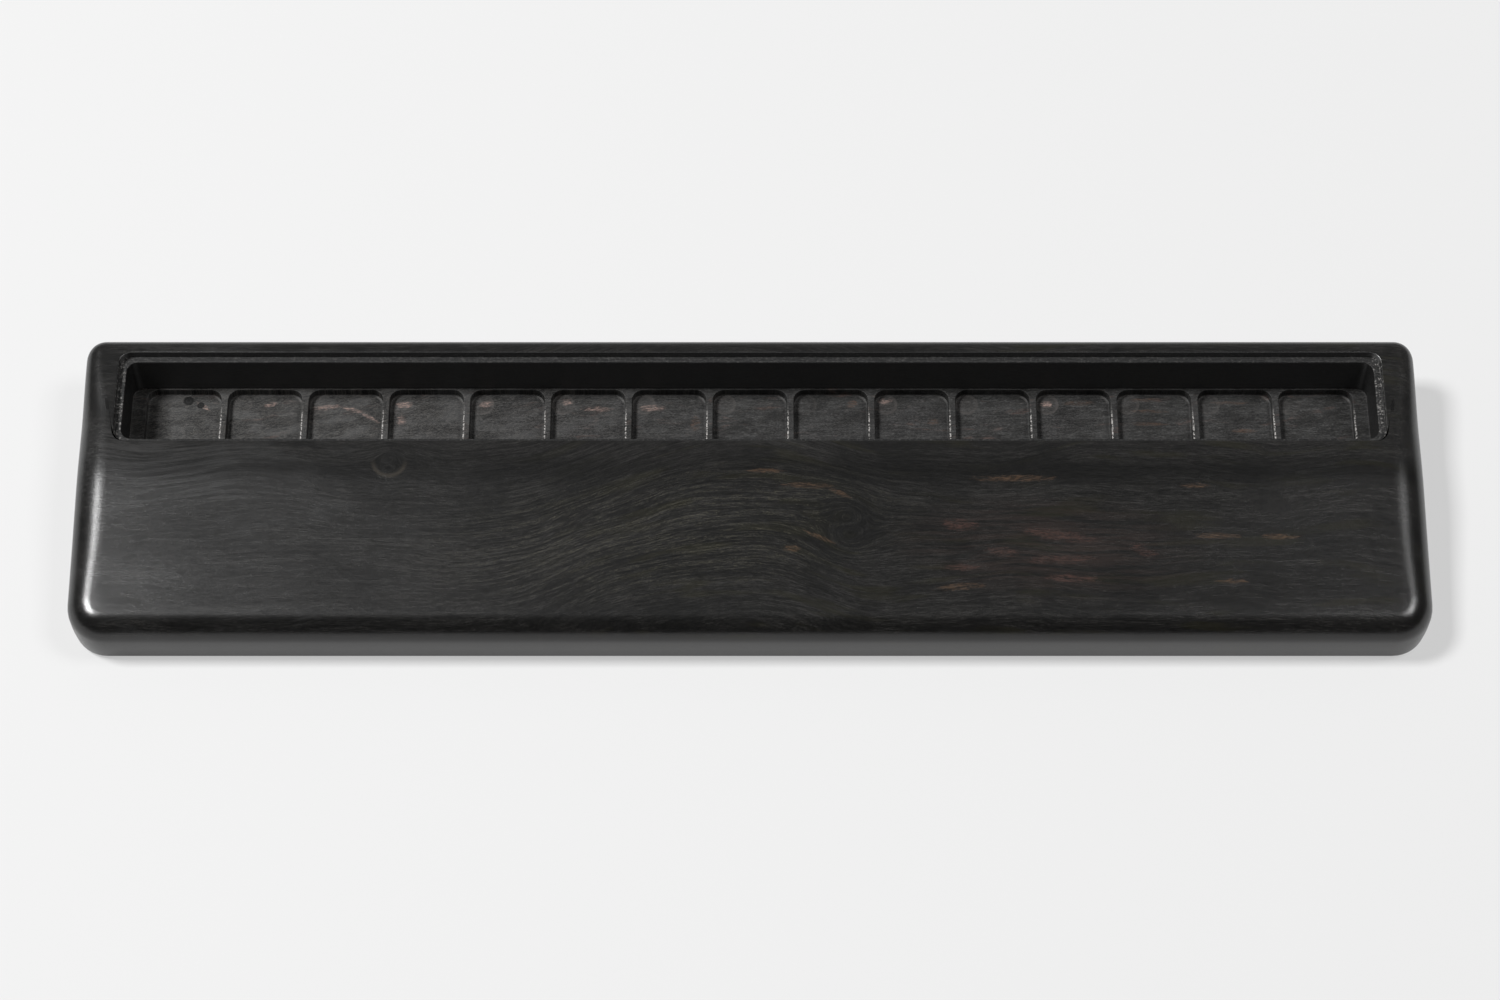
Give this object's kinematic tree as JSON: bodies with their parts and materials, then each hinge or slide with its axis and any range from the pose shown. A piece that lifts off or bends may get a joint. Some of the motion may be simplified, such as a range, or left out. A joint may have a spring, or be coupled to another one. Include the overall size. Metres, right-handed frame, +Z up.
{
  "type": "wrist rest",
  "caption": "Dark hardwood palm rest with a gently sloped, rounded palm surface and a long open tray of keycap pockets along its back.",
  "frame": {"origin": "on the table, under the centre of the block", "axes": "+X to the user's right along the length, +Y away from the user towards the keyboard, +Z up"},
  "size_m": [0.326, 0.079, 0.02],
  "materials": {
    "dark_hardwood": "oiled satin, near-black with fine grain",
    "foot_rubber": "matte",
    "adhesive_film": "thin translucent film"
  },
  "bodies": {
    "root": {"wood_body": "dark_hardwood", "foot_front_left": "foot_rubber", "adhesive_front_left": "adhesive_film", "foot_front_centre": "foot_rubber", "adhesive_front_centre": "adhesive_film", "foot_front_right": "foot_rubber", "adhesive_front_right": "adhesive_film", "foot_back_left": "foot_rubber", "adhesive_back_left": "adhesive_film", "foot_back_centre": "foot_rubber", "adhesive_back_centre": "adhesive_film", "foot_back_right": "foot_rubber", "adhesive_back_right": "adhesive_film"}
  },
  "joints": []
}
